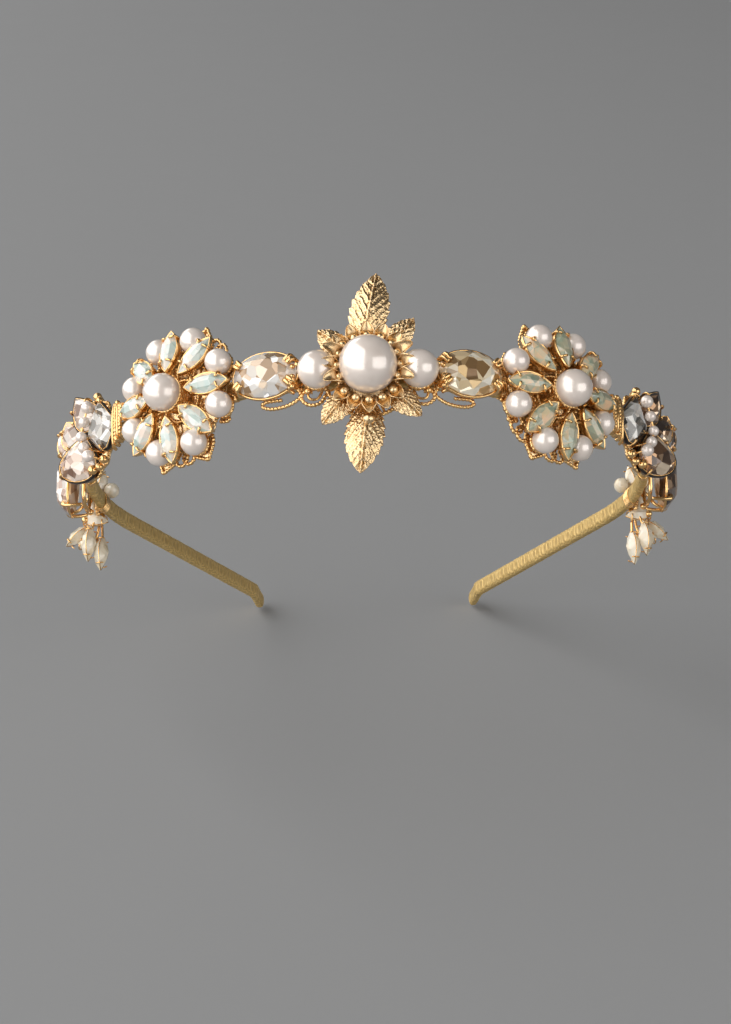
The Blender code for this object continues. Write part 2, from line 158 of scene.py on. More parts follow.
def read_stand():
    """The band's flat frame and its radius, from the two joints at the ends of the round front."""
    joints = {joint["name"]: joint for joint in frame["joints"]}
    left = Vector(joints["flex_left"]["pos_m"])
    right = Vector(joints["flex_right"]["pos_m"])
    u = (right - left).normalized()
    w = Vector(joints["flex_left"]["axis"]).normalized()
    v = w.cross(u)
    radius = (right - left).length / 2 / sin(radians(FLEX_AT)) / MM
    place = (left + right) / 2 - v * radius * (1 - cos(radians(FLEX_AT))) * MM
    axes = Matrix((u, v, w)).transposed().to_4x4()
    return Matrix.Translation(place) @ axes @ Matrix.Scale(MM, 4), radius


STAND, BAND_R = read_stand()


def band_point(angle):
    """A point on the mid-line of the band's round front, in the flat frame."""
    a = radians(angle)
    return Vector((BAND_R * sin(a), BAND_R * (1 - cos(a)), 0))


def on_band(angle, rise=0.0):
    """An ornament's frame on the band: X along it, Y up its width, Z straight out."""
    place = band_point(angle) + Vector((0, 0, rise))
    return STAND @ Matrix.Translation(place) @ turn(angle, "Z") @ turn(90, "X")


# --- Forms ----------------------------------------------------------------------------------

class Form:
    """Points and faces gathered for one piece, with a material index and a painted brightness for each
    face, the painted reflections on a stone's facets.
    """

    def __init__(self):
        self.points = []
        self.faces = []
        self.marks = []
        self.facet_glints = []

    def add(self, points, faces, place, mark=0, facet_glints=None):
        """Add faces between points that are placed by a matrix."""
        base = len(self.points)
        self.points.extend(place @ Vector(point) for point in points)
        self.faces.extend([base + i for i in face] for face in faces)
        self.marks.extend([mark] * len(faces) if isinstance(mark, int) else mark)
        self.facet_glints.extend(facet_glints or [0.5] * len(faces))

    def grid(self, rows, place, loop=False, mark=0):
        """A closed tube through rings of points. Loop joins last to first, in place of end caps."""
        count = len(rows[0])
        points = [point for row in rows for point in row]
        faces = []
        last = len(rows) if loop else len(rows) - 1
        for i in range(last):
            here, there = i * count, (i + 1) % len(rows) * count
            for j in range(count):
                k = (j + 1) % count
                faces.append((here + j, here + k, there + k, there + j))
        if not loop:
            faces.append(tuple(range(count))[::-1])
            faces.append(tuple(range((len(rows) - 1) * count, len(rows) * count)))
        self.add(points, faces, place, mark)


def resample(points, step, closed=False):
    """A smooth curve through the points, cut into even steps."""
    points = [Vector(point) for point in points]
    count = len(points)
    dense = []
    spans = count if closed else count - 1
    for i in range(spans):
        a, b, c, d = [points[k % count] if closed else points[max(0, min(count - 1, k))]
                      for k in (i - 1, i, i + 1, i + 2)]
        for j in range(12):
            t = j / 12
            dense.append(0.5 * (2 * b + (c - a) * t + (2 * a - 5 * b + 4 * c - d) * t * t
                                + (3 * b - a - 3 * c + d) * t ** 3))
    dense.append(points[0] if closed else points[-1])
    lengths = [0.0]
    for a, b in zip(dense, dense[1:]):
        lengths.append(lengths[-1] + (b - a).length)
    total = lengths[-1]
    pieces = max(2, ceil(total / step))
    result, k = [], 0
    for i in range(pieces if closed else pieces + 1):
        goal = total * i / pieces
        while k < len(lengths) - 2 and lengths[k + 1] < goal:
            k += 1
        span = lengths[k + 1] - lengths[k] or 1.0
        result.append(dense[k].lerp(dense[k + 1], (goal - lengths[k]) / span))
    return result


def wire(form, points, radius, place, sides=8, closed=False, step=0.5, rope=False, mark=0):
    """A round wire through the points. A rope wire has a thread wound round it."""
    step = ROPE_PITCH / 5 if rope else step
    path = resample(points, step, closed)
    count = len(path)
    radii = radius if callable(radius) else (lambda t: radius)
    coils = round(step * count / ROPE_PITCH) * pi if rope else 0.0
    side = None
    rows = []
    for i, point in enumerate(path):
        before = path[i - 1] if i or closed else point
        after = path[(i + 1) % count] if i + 1 < count or closed else point
        ahead = (after - before).normalized()
        if side is None:
            side = ahead.orthogonal().normalized()
        side = (side - ahead * side.dot(ahead)).normalized()
        up = ahead.cross(side)
        t = i / count
        row = []
        for j in range(sides):
            a = 2 * pi * j / sides
            r = radii(t)
            if rope:
                r *= 0.62 + 0.58 * abs(cos(a / 2 - coils * t)) ** 0.8
            row.append(point + side * r * cos(a) + up * r * sin(a))
        rows.append(row)
    if not closed:
        rows.insert(0, [path[0].lerp(p, 0.55) - (rows[1][0] - rows[0][0]) * 0.3 for p in rows[0]])
        rows.append([path[-1].lerp(p, 0.55) for p in rows[-1]])
    form.grid(rows, place, loop=closed, mark=mark)


def ball(form, centre, radius, place, levels=10, segments=14, mark=0):
    """A ball."""
    centre = Vector(centre)
    points = [centre - Vector((0, 0, radius))]
    for i in range(1, levels):
        a = pi * i / levels - pi / 2
        for j in range(segments):
            b = 2 * pi * j / segments
            points.append(centre + Vector((cos(a) * cos(b), cos(a) * sin(b), sin(a))) * radius)
    points.append(centre + Vector((0, 0, radius)))
    faces = []
    top = len(points) - 1
    for j in range(segments):
        k = (j + 1) % segments
        faces.append((0, 1 + k, 1 + j))
        faces.append((top, top - segments + j, top - segments + k))
        for i in range(levels - 2):
            a = 1 + i * segments
            faces.append((a + j, a + k, a + segments + k, a + segments + j))
    form.add(points, faces, place, mark)


def rim_normals(outline):
    """Outward directions at the points of an outline that runs anticlockwise."""
    count = len(outline)
    pairs = [(outline[i - 1], outline[(i + 1) % count]) for i in range(count)]
    return [Vector((by - ay, ax - bx)).normalized() for (ax, ay), (bx, by) in pairs]


def wall(form, outline, section, place, mark=0):
    """A wall round an outline. The section is a closed line of (distance outwards, height)."""
    rows = []
    for (x, y), out in zip(outline, rim_normals(outline)):
        rows.append([(x + out.x * d, y + out.y * d, z) for d, z in section])
    form.grid(rows, place, loop=True, mark=mark)


def slab(form, outline, low, high, place, edge=0.12):
    """A flat plate with a softened edge."""
    inner = [(x - out.x * edge, y - out.y * edge)
             for (x, y), out in zip(outline, rim_normals(outline))]
    rows = [[(x, y, low) for x, y in inner], [(x, y, low + edge) for x, y in outline],
            [(x, y, high - edge) for x, y in outline], [(x, y, high) for x, y in inner]]
    form.grid(rows, place)


def cut_stone(form, points, girdle, place, low=0.0, high=1.0, flat=0.03):
    """A faceted stone: the hull of its corners. Facets under the girdle get mark 1. Each facet gets a
    painted brightness, drawn at random between low and high: painted reflections.
    """
    bm = bmesh.new()
    for point in points:
        bm.verts.new(point)
    bmesh.ops.convex_hull(bm, input=bm.verts)
    loose = [vert for vert in bm.verts if not vert.link_faces]
    bmesh.ops.delete(bm, geom=loose, context="VERTS")
    bmesh.ops.dissolve_limit(bm, angle_limit=flat, verts=bm.verts, edges=bm.edges)
    bmesh.ops.recalc_face_normals(bm, faces=bm.faces)
    bm.verts.index_update()
    corners = [vert.co.copy() for vert in bm.verts]
    faces = [[vert.index for vert in face.verts] for face in bm.faces]
    marks = [1 if face.calc_center_median().z < girdle else 0 for face in bm.faces]
    # Painted reflections: each facet's own painted brightness, drawn at random.
    facet_glints = [draw.uniform(low, high) for _ in faces]
    bm.free()
    form.add(corners, faces, place, marks, facet_glints)


def rings(outline, *levels):
    """An outline at several levels of (scale, height), as corners of a stone."""
    return [Vector((x * scale, y * scale, height)) for scale, height in levels for x, y in outline]


def oval(length, width, count, start=0.0):
    """Points round an ellipse. Start is a share of one step."""
    turns = [2 * pi * (i + start) / count for i in range(count)]
    return [(length / 2 * cos(a), width / 2 * sin(a)) for a in turns]


def circle(radius, height, count, x=0.0, y=0.0):
    """Points round a circle at one height."""
    turns = [2 * pi * i / count for i in range(count)]
    return [(x + radius * cos(a), y + radius * sin(a), height) for a in turns]


def boat(length, width, count):
    """A navette outline between two shallow arcs."""
    half = count // 2
    upper = []
    for i in range(half):
        x = length * (0.5 - i / half)
        upper.append((x, width / 2 * (1 - (2 * x / length) ** 2)))
    return upper + [(-x, -y) for x, y in upper]


def drop(length, width, count):
    """A pear outline, pointed towards +X."""
    turns = [2 * pi * i / count for i in range(count)]
    return [(length / 2 * cos(a), width / 2 * 1.25 * sin(a) * abs(sin(a / 2))) for a in turns]


def octagon(length, width):
    """A rectangle with cut corners, its length up the band's width."""
    corner = 2.8
    x, y = width / 2, length / 2
    return [(x, corner - y), (x, y - corner), (x - corner, y), (corner - x, y), (-x, y - corner),
            (-x, corner - y), (corner - x, -y), (x - corner, -y)]


def put(name, data):
    """A new object in the scene."""
    item = bpy.data.objects.new(name, data)
    bpy.context.scene.collection.objects.link(item)
    return item


def finish_piece(name, form, materials, nodes=(), smooth=True, body="front"):
    """Make one piece from a form, and tie it to the frame."""
    mesh = bpy.data.meshes.new(name)
    mesh.from_pydata(form.points, [], form.faces)
    mesh.validate()
    for material in materials:
        mesh.materials.append(material)
    mesh.polygons.foreach_set("material_index", form.marks)
    # The tone attribute carries each face's painted brightness: painted reflections on a stone's
    # facets.
    mesh.attributes.new("tone", "FLOAT", "FACE").data.foreach_set("value", form.facet_glints)
    bm = bmesh.new()
    bm.from_mesh(mesh)
    bmesh.ops.recalc_face_normals(bm, faces=bm.faces)
    bm.to_mesh(mesh)
    bm.free()
    if smooth:
        mesh.shade_smooth()
    piece = put(name, mesh)
    if body:
        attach(piece, body)
    if nodes:
        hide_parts(*nodes)
    return piece


# --- Materials ------------------------------------------------------------------------------

BLACK = (0.0, 0.0, 0.0)
WHITE = (1.0, 1.0, 1.0)


class Nodes:
    """A material's node tree, with short ways to add and join nodes."""

    def __init__(self, name):
        self.material = bpy.data.materials.new(name)
        self.material.use_nodes = True
        self.tree = self.material.node_tree
        self.shader = self.tree.nodes["Principled BSDF"]
        self.place = self.add("ShaderNodeTexCoord", {}).outputs["Object"]

    def add(self, kind, inputs, **settings):
        """A new node. Its inputs are a dictionary of values and of other nodes' outputs."""
        node = self.tree.nodes.new(kind)
        for key, value in settings.items():
            setattr(node, key, value)
        for key, value in inputs.items():
            if isinstance(value, bpy.types.NodeSocket):
                self.tree.links.new(value, node.inputs[key])
            else:
                node.inputs[key].default_value = value
        return node

    def set(self, **values):
        for key, value in values.items():
            self.shader.inputs[key.replace("_", " ")].default_value = value

    def noise(self, scale, detail=3.0, roughness=0.55):
        return self.add("ShaderNodeTexNoise", {"Vector": self.place, "Scale": scale, "Detail": detail,
                                               "Roughness": roughness}).outputs["Fac"]

    def vectors(self, operation, a, b):
        return self.add("ShaderNodeVectorMath", {0: a, 1: b}, operation=operation).outputs

    def facets(self, scale, tilt):
        """Straight-edged patches, each with a tilt and a painted tone: painted reflections of facets
        seen through a stone.
        """
        cells = self.add("ShaderNodeTexVoronoi", {"Vector": self.place, "Scale": scale}).outputs
        away = self.vectors("SUBTRACT", self.place, cells["Position"])["Vector"]
        lean = self.vectors("SUBTRACT", cells["Color"], (0.5, 0.5, 0.5))["Vector"]
        self.bump(self.vectors("DOT_PRODUCT", away, lean)["Value"], 1.0, tilt)
        return self.add("ShaderNodeSeparateColor", {"Color": cells["Color"]}).outputs["Red"]

    def facet_glint_tone(self, share, scale, tilt):
        """A stone's painted facet brightness from 0 to 1, painted reflections: some from its own
        facets, some from those seen through it.
        """
        both = self.mix(share, self.attribute("tone"), self.facets(scale, tilt))
        return self.span(both, 0.0, 1.0, 0.22, 0.78)

    def ramp(self, source, *stops):
        node = self.add("ShaderNodeValToRGB", {"Fac": source})
        points = node.color_ramp.elements
        while len(points) < len(stops):
            points.new(0.5)
        for point, (position, colour) in zip(points, stops):
            point.position = position
            point.color = (*colour, 1.0)
        return node.outputs["Color"]

    def hollow(self, low, high):
        """From 0 in hollows to 1 on edges: the mask for painted shade in hollows."""
        edges = self.add("ShaderNodeNewGeometry", {}).outputs["Pointiness"]
        return self.ramp(edges, (low, BLACK), (high, WHITE))

    def span(self, source, low, high, start=0.0, end=1.0):
        return self.add("ShaderNodeMapRange", {"Value": source, "From Min": start, "From Max": end,
                                               "To Min": low, "To Max": high}).outputs["Result"]

    def mix(self, factor, a, b, blend="MIX"):
        a, b = ((*tone, 1.0) if isinstance(tone, tuple) else tone for tone in (a, b))
        return self.add("ShaderNodeMix", {0: factor, 6: a, 7: b}, data_type="RGBA",
                        blend_type=blend).outputs[2]

    def bump(self, height, strength, distance):
        normal = self.add("ShaderNodeBump", {"Strength": strength, "Distance": distance,
                                             "Height": height}).outputs["Normal"]
        self.tree.links.new(normal, self.shader.inputs["Normal"])

    def attribute(self, name):
        return self.add("ShaderNodeAttribute", {}, attribute_name=name).outputs["Fac"]

    def colour(self, source):
        self.tree.links.new(source, self.shader.inputs["Base Color"])

    def rough(self, scale, low, high):
        """A roughness that wanders between two values."""
        self.tree.links.new(self.span(self.noise(scale), low, high), self.shader.inputs["Roughness"])


def gold_material(name, light, dark, rough, bump):
    """Gilt brass with painted shade, browner in hollows and lighter on edges, and fine hammer marks."""
    n = Nodes(name)
    shade = tuple(channel * 0.42 for channel in dark)
    # Painted shade: a dark brown laid into hollows by the Pointiness mask, with the metal's own mottle
    # elsewhere.
    n.colour(n.mix(n.hollow(0.44, 0.53), shade, n.mix(n.noise(420.0), dark, light)))
    n.rough(900.0, rough - 0.08, rough + 0.12)
    n.bump(n.noise(2600.0, 4.0, 0.7), bump, 0.00008)
    n.set(Metallic=1.0)
    return n.material


def thread_material(name):
    """Metallic thread: fine filaments across the strands, with painted shade in dark brown in its
    hollows.
    """
    n = Nodes(name)
    tone = n.mix(n.noise(1500.0), (0.66, 0.41, 0.11), (1.0, 0.78, 0.36))
    # Painted shade: dark brown laid into the hollows between the strands.
    n.colour(n.mix(n.hollow(0.40, 0.56), (0.16, 0.07, 0.01), tone))
    n.rough(2500.0, 0.38, 0.60)
    n.bump(n.noise(5200.0, 3.0, 0.7), 0.6, 0.00006)
    n.set(Metallic=0.55)
    return n.material


def steel_material(name):
    """Drawn spring steel."""
    n = Nodes(name)
    n.colour(n.mix(n.noise(700.0), (0.40, 0.39, 0.37), (0.62, 0.60, 0.57)))
    n.rough(1800.0, 0.25, 0.45)
    n.bump(n.noise(4000.0), 0.3, 0.00003)
    n.set(Metallic=1.0)
    return n.material


def pearl_material(name):
    """Crystal pearl: a creamy core under a clear, glossy coat, with faint pink clouds."""
    n = Nodes(name)
    n.colour(n.ramp(n.noise(150.0, 2.0), (0.30, (0.77, 0.66, 0.58)), (0.50, (0.85, 0.75, 0.67)),
                    (0.70, (0.80, 0.69, 0.62))))
    n.rough(600.0, 0.26, 0.33)
    n.bump(n.noise(900.0, 2.0), 0.03, 0.00005)
    n.set(Metallic=0.26, Coat_Weight=1.0, Coat_Roughness=0.07, Coat_IOR=1.7)
    return n.material


def opal_material(name, stops, cool, warm):
    """Milky opal glass: its own pale colours crossed by warm and cool veins, with a painted brightness
    on each facet, painted reflections.
    """
    n = Nodes(name)
    base = n.ramp(n.facet_glint_tone(0.45, 430.0, 0.45), *stops)
    veins = n.ramp(n.noise(420.0, 2.0), (0.42, cool), (0.58, warm))
    n.colour(n.mix(0.9, base, veins, "MULTIPLY"))
    n.rough(500.0, 0.06, 0.14)
    n.set(Coat_Weight=1.0, Coat_Roughness=0.03, Coat_IOR=1.6, Transmission_Weight=0.25,
          IOR=1.5)
    return n.material


def glass_material(name, stops, clear, metallic):
    """The crown of a crystal, in the stone's own colour. Each facet gets a painted brightness, painted
    reflections, and lets some light in.
    """
    n = Nodes(name)
    n.colour(n.ramp(n.facet_glint_tone(0.6, 430.0, 1.1), *stops))
    n.rough(400.0, 0.02, 0.06)
    n.set(Transmission_Weight=clear, IOR=1.56, Metallic=metallic, Coat_Weight=1.0,
          Coat_Roughness=0.02, Coat_IOR=1.7)
    return n.material


def foil_material(name, stops, rough=0.16):
    """The foil behind a crystal, in the stone's own colour. Each facet has a painted brightness:
    painted reflections.
    """
    n = Nodes(name)
    tone = n.ramp(n.attribute("tone"), *stops)
    cloud = n.ramp(n.noise(260.0, 2.0), (0.35, (0.74, 0.70, 0.66)), (0.65, WHITE))
    n.colour(n.mix(0.6, tone, cloud, "MULTIPLY"))
    n.rough(700.0, rough - 0.05, rough + 0.08)
    n.set(Metallic=0.45)
    return n.material


def floor_material(name):
    """Seamless matt paper with the faintest mottle."""
    n = Nodes(name)
    n.colour(n.mix(n.noise(3.0), (0.254, 0.254, 0.254), (0.262, 0.262, 0.262)))
    n.rough(60.0, 0.82, 0.9)
    return n.material


GOLD = gold_material("hammered_gold", (1.0, 0.79, 0.50), (0.80, 0.50, 0.22), 0.22, 0.7)
SETTING = gold_material("setting_gold", (1.0, 0.69, 0.34), (0.76, 0.43, 0.15), 0.18, 0.15)
ROPE_GOLD = gold_material("rope_gold", (0.98, 0.66, 0.31), (0.72, 0.41, 0.14), 0.24, 0.2)
THREAD = thread_material("gold_thread")
STEEL = steel_material("spring_steel_brushed")
PEARL = pearl_material("crystal_pearl")

# Colour stops of the stones, from their darkest facets to their brightest: the hue is each stone's own
# colour, the spread from dark to bright is painted reflection.
PALE_OPAL = ((0.0, (0.58, 0.68, 0.62)), (0.35, (0.74, 0.82, 0.77)), (0.56, (0.93, 0.93, 0.88)),
             (0.85, (0.99, 0.84, 0.72)))
GREEN_OPAL = ((0.0, (0.42, 0.48, 0.39)), (0.38, (0.62, 0.66, 0.55)), (0.56, (0.80, 0.78, 0.65)),
              (0.85, (1.0, 0.76, 0.54)))
IVORY_GLASS = ((0.0, (0.95, 0.82, 0.62)), (1.0, (1.0, 0.95, 0.83)))
WHITE_CUT = ((0.0, (0.55, 0.33, 0.15)), (0.22, (0.88, 0.70, 0.52)), (0.45, (0.95, 0.88, 0.79)),
             (1.0, (1.0, 0.98, 0.95)))
GOLDEN_CUT = ((0.0, (0.34, 0.19, 0.07)), (0.20, (0.72, 0.48, 0.21)), (0.50, (0.98, 0.76, 0.46)),
              (1.0, (1.0, 0.92, 0.75)))
CLEAR_CUT = ((0.0, (0.12, 0.10, 0.08)), (0.28, (0.50, 0.46, 0.39)), (0.55, (0.78, 0.75, 0.69)),
             (1.0, (0.94, 0.93, 0.90)))
GREY_CUT = ((0.0, (0.02, 0.02, 0.018)), (0.35, (0.22, 0.21, 0.18)), (0.62, (0.60, 0.58, 0.53)),
            (1.0, (0.98, 0.97, 0.94)))
ROSE_CUT = ((0.0, (0.36, 0.19, 0.11)), (0.28, (0.72, 0.52, 0.39)), (0.55, (0.87, 0.72, 0.60)),
            (1.0, (0.96, 0.86, 0.77)))
SMOKE_CUT = ((0.0, (0.03, 0.014, 0.007)), (0.35, (0.22, 0.11, 0.05)), (0.62, (0.56, 0.33, 0.18)),
             (1.0, (1.0, 0.80, 0.58)))
BLACK_EDGE = ((0.0, (0.015, 0.013, 0.012)), (1.0, (0.05, 0.04, 0.035)))

# The left side has the paler stones.
OPALS = {"left": opal_material("pale_opal", PALE_OPAL, (0.86, 0.93, 0.91), (1.0, 0.96, 0.91)),
         "right": opal_material("green_opal", GREEN_OPAL, (0.76, 0.83, 0.72), (1.0, 0.86, 0.70))}
IVORY = opal_material("ivory_opal", IVORY_GLASS, (0.97, 0.92, 0.82), (1.0, 0.99, 0.96))


def crystal_pair(name, stops, clear, metallic):
    """The two finishes of one stone: its glass crown and the foil behind it."""
    return glass_material(name + "_glass", stops, clear, metallic), foil_material(name + "_foil", stops)


OVAL_CUT = {"left": crystal_pair("pale", WHITE_CUT, 0.18, 0.12),
            "right": crystal_pair("golden", GOLDEN_CUT, 0.20, 0.26)}
KITE_CUT = {"left": crystal_pair("clear", CLEAR_CUT, 0.25, 0.20),
            "right": crystal_pair("grey", GREY_CUT, 0.25, 0.35)}
PEAR_CUT = {"left": crystal_pair("rose", ROSE_CUT, 0.25, 0.15),
            "right": crystal_pair("smoke", SMOKE_CUT, 0.20, 0.55)}
BLACK_FOIL = foil_material("black_foil", BLACK_EDGE, 0.3)
FLOOR = floor_material("seamless_paper")


# --- Band -----------------------------------------------------------------------------------

def band_line(start, end, sign, tip):
    """The band's mid-line from one angle to another, in the flat frame, and on to the tip."""
    line = []
    steps = max(8, int(abs(end - start) / 1.5))
    for i in range(steps + 1):
        p = band_point(start + (end - start) * i / steps)
        line.append(Vector((sign * p.x, p.y, 0)))
    if tip:
        point = band_point(ARC_END)
        for length, heading in ((ARM_LENGTH, ARC_END), (TIP_LENGTH, ARC_END - TIP_TURN)):
            a = radians(heading)
            ahead = Vector((cos(a), sin(a), 0))
            for i in range(1, 9):
                spot = point + ahead * length * i / 8
                line.append(Vector((sign * spot.x, spot.y, 0)))
            point = point + ahead * length
    return line


def braid(form, line, tip=False):
    """A flat cord of plaited metal thread along a line in the flat frame."""
    step, around = 0.17, 44
    path = resample(line, step)
    count = len(path)
    half_w, half_t = BAND_WIDTH / 2 - 0.10, BAND_THICK / 2 - 0.10
    rows = []
    for i, point in enumerate(path):
        ahead = (path[min(count - 1, i + 1)] - path[max(0, i - 1)]).normalized()
        out = Vector((ahead.y, -ahead.x, 0))
        s = i * step
        close = 1.0
        left = (count - 1 - i) * step
        if tip and left < 1.4:
            close = max(0.06, sqrt(max(0.0, 1 - (1 - left / 1.4) ** 2)))
        row = []
        for j in range(around):
            a = 2 * pi * j / around
            c, d = cos(a), sin(a)
            round_c = abs(c) ** 0.62 * (1 if c > 0 else -1)
            round_d = abs(d) ** 0.62 * (1 if d > 0 else -1)
            one = cos(2 * pi * s / BRAID_PITCH + 4 * a)
            two = cos(2 * pi * s / BRAID_PITCH - 4 * a)
            over = cos(pi * s / BRAID_PITCH) * cos(2 * a) > 0
            weave = max(one, two) if over else -min(one, two)
            rough = noise.noise(Vector((s * 1.7, c * 2.4, d * 2.4)))
            fine = noise.noise(Vector((s * 5.1, c * 7.0, d * 7.0)))
            lift = 0.08 * weave + 0.10 * rough + 0.07 * fine
            row.append(point + out * (half_t * round_c * close + lift * c * close)
                       + Vector((0, 0, half_w * round_d * close + lift * d * close)))
        rows.append(row)
    form.grid(rows, STAND)


def make_band():
    """The front of the band, and a separate arm each side."""
    form = Form()
    braid(form, band_line(-BRAID_SPLIT - 0.4, BRAID_SPLIT + 0.4, 1, False))
    finish_piece("braid_front", form, [THREAD], ["band_wrap_front"])
    for side, sign in SIDES:
        form = Form()
        braid(form, band_line(BRAID_SPLIT, ARC_END, sign, True), tip=True)
        piece = finish_piece("braid_arm_" + side, form, [THREAD], ["arm_wrap_" + side],
                             body=None)
        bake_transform(piece)


def bind_band():
    """Fine gold wire wound round the band where the ornaments are tied to it."""
    form = Form()
    for side, sign in SIDES:
        for angle, turns in BINDINGS:
            points = []
            count = turns * 12
            for i in range(count + 1):
                a = 2 * pi * i / 12
                along = (i / count - 0.5) * turns * BINDING_PITCH
                points.append((along, (BAND_WIDTH / 2 + 0.22) * sin(a),
                               (BAND_THICK / 2 + 0.20) * cos(a)))
            wire(form, points, 0.2, on_band(sign * angle), sides=6, step=0.35)
    finish_piece("binding_wire", form, [SETTING])


# --- Leaves and centre ------------------------------------------------------------------------

def make_leaf(name, start, angle, end, width, veins, low, sway=0.0):
    """A stamped leaf: toothed edge, raised midrib, side veins and hammer marks."""
    form = Form()
    place = on_band(0) @ turn(angle, "Z")
    length = end - start
    along_steps, across = int(length * 7), 44
    lift = 2.1 if length > 12 else 1.4
    top, bottom = [], []
    for i in range(along_steps + 1):
        s = i / along_steps
        half = width / 2 * max(0.0, sin(pi * min(1.0, s * 0.96 + 0.04) ** 1.15)) ** 0.72
        tooth = 0.13 * ((s * (veins + 1)) % 1.0 - 0.6) if 0.06 < s < 0.97 else 0.0
        half = max(half, 0.12)
        row_top, row_bottom = [], []
        for j in range(across + 1):
            t = 2 * j / across - 1
            x = start + length * s - 0.10 * half * abs(t)
            y = half * t * (1 + tooth * abs(t) ** 7) + sway * (1 - s) ** 1.3
            half_y = half * abs(t)
            fold = lift * (1 - abs(t)) * sin(pi * min(1.0, s * 0.9 + 0.1)) ** 0.5 * (half / width * 2)
            curl = 0.36 * sin(pi * s) + 0.5 * s * s
            phase = (s * veins - half_y / width * 6.4) % 1.0
            ridge = max(0.0, 1 - abs(phase - 0.5) * 4.2)
            groove = -0.24 * max(0.0, 1 - abs(half_y - 0.42) / 0.24)
            rib = 0.30 * max(0.0, 1 - half_y / 0.26)
            spot = Vector((x * 1.9 - half_y * 2.2, y * 1.9, angle))
            marks = (0.13 * noise.noise(spot * 0.8) + 0.31 * abs(noise.noise(spot * 1.5))
                     + 0.15 * noise.noise(spot * 3.2))
            z = low + fold + curl + 0.25 * ridge * (1 - abs(t) ** 4) + groove + rib + marks
            row_top.append((x, y, z))
            row_bottom.append((x, y, low + fold + curl - 0.42 * (1 - 0.7 * abs(t) ** 3)))
        top.append(row_top)
        bottom.append(row_bottom[::-1])
    form.grid([a + b for a, b in zip(top, bottom)], place)
    finish_piece(name + "_veined", form, [GOLD], [name])


def make_petal_ring():
    """Sixteen pointed cups that rise round the large pearl, each with a bead in it."""
    form = Form()
    count = 16
    for i in range(count):
        angle = 360.0 * i / count + 1.0
        a = radians(angle)
        near_side = abs(cos(a)) > 0.90
        high = 9.9 if near_side else 7.4 - 0.6 * max(0.0, -sin(a))
        place = on_band(0) @ turn(angle, "Z")
        if near_side:
            spine = ((5.9, 3.6), (6.15, 5.2), (6.8, 0.62 * high + 2.3), (8.2, high - 0.25),
                     (10.0, high))
        else:
            spine = ((5.8, 3.9), (6.2, 4.9), (7.1, 5.8), (8.4, high - 0.5), (9.9, high))
        spine = resample([(x, 0, z) for x, z in spine], 0.22)
        steps, across = len(spine) - 1, 14
        inner, outer = [], []
        for k, point in enumerate(spine):
            s = k / steps
            ahead = (spine[min(steps, k + 1)] - spine[max(0, k - 1)]).normalized()
            up = Vector((-ahead.z, 0, ahead.x))
            half = 0.80 + 0.85 * sin(pi / 2 * min(1.0, s / 0.6))
            half = max(half * min(1.0, (1 - s) / 0.36) ** 0.55, 0.06)
            row, back = [], []
            for j in range(across + 1):
                t = 2 * j / across - 1
                cup = 0.80 * t * t * sin(pi * s) ** 0.6
                rim = 0.14 * max(0.0, abs(t) - 0.75) / 0.25
                row.append(point + Vector((0, half * t, 0)) + up * (cup + rim))
                back.append(point + Vector((0, half * t, 0)) + up * (cup - 0.30))
            inner.append(row)
            outer.append(back[::-1])
        form.grid([p + q for p, q in zip(inner, outer)], place)
        spot = spine[int(steps * 0.44)]
        ball(form, (spot.x, 0, spot.z + 0.62), 0.94, place)
    wire(form, circle(6.35, 4.1, 32), 0.42, on_band(0), closed=True, rope=True)
    finish_piece("petal_cups", form, [GOLD], ["petal_ring"])


def make_backing():
    """The plate behind the centre: a thin disc, spokes, a rope rim and rope loops at the sides."""
    form = Form()
    place = on_band(0)
    slab(form, oval(11.6, 11.6, 64), BACK + 0.05, PLATE_TOP - 0.05, place)
    wire(form, circle(9.0, 2.0, 40), 0.42, place, closed=True, rope=True, mark=1)
    for i in range(16):
        a = radians(22.5 * i)
        wire(form, [(r * cos(a), r * sin(a), 1.9) for r in (5.4, 9.1)], 0.3, place, mark=1)
    for sign in (-1, 1):
        for z, size, line in (
                (1.9, ROPE, ((8.6, -4.0), (9.8, -5.9), (12.0, -6.4), (13.6, -5.2), (13.2, -3.6),
                             (11.4, -3.6))),
                (1.9, 0.30, ((9.4, -3.4), (10.4, -5.0), (12.0, -5.0), (12.4, -3.8))),
                (2.0, ROPE, ((7.8, 3.6), (10.0, 4.7), (13.0, 4.2), (14.6, 1.6), (14.8, -1.4),
                             (13.8, -4.0)))):
            wire(form, [(sign * x, y, z) for x, y in line], size, place, rope=size == ROPE, mark=1)
        ball(form, (sign * 12.4, -3.6, 2.6), 0.75, place, mark=1)
    finish_piece("center_filigree", form, [GOLD, ROPE_GOLD], ["center_backing"])


def make_pearl(name, centre, diameter, place, nodes, detail=40):
    """One smooth pearl."""
    form = Form()
    ball(form, centre, diameter / 2, place, levels=detail, segments=int(detail * 1.5))
    finish_piece(name, form, [PEARL], nodes)


def make_drop_bead(place):
    """The small turned bead under the pearl."""
    profile = ((-1.6, 0.12), (-1.3, 0.62), (-0.6, 1.25), (0.1, 1.36), (0.8, 1.0), (1.5, 0.5),
               (2.0, 0.42))
    lines = []
    for i in range(20):
        a = 2 * pi * i / 20
        lines.append(resample([(r * cos(a), y, r * sin(a)) for y, r in profile], 0.15))
    form = Form()
    form.grid([list(row) for row in zip(*lines)], place)
    finish_piece("drop_bead_smooth", form, [GOLD], ["drop_bead"])


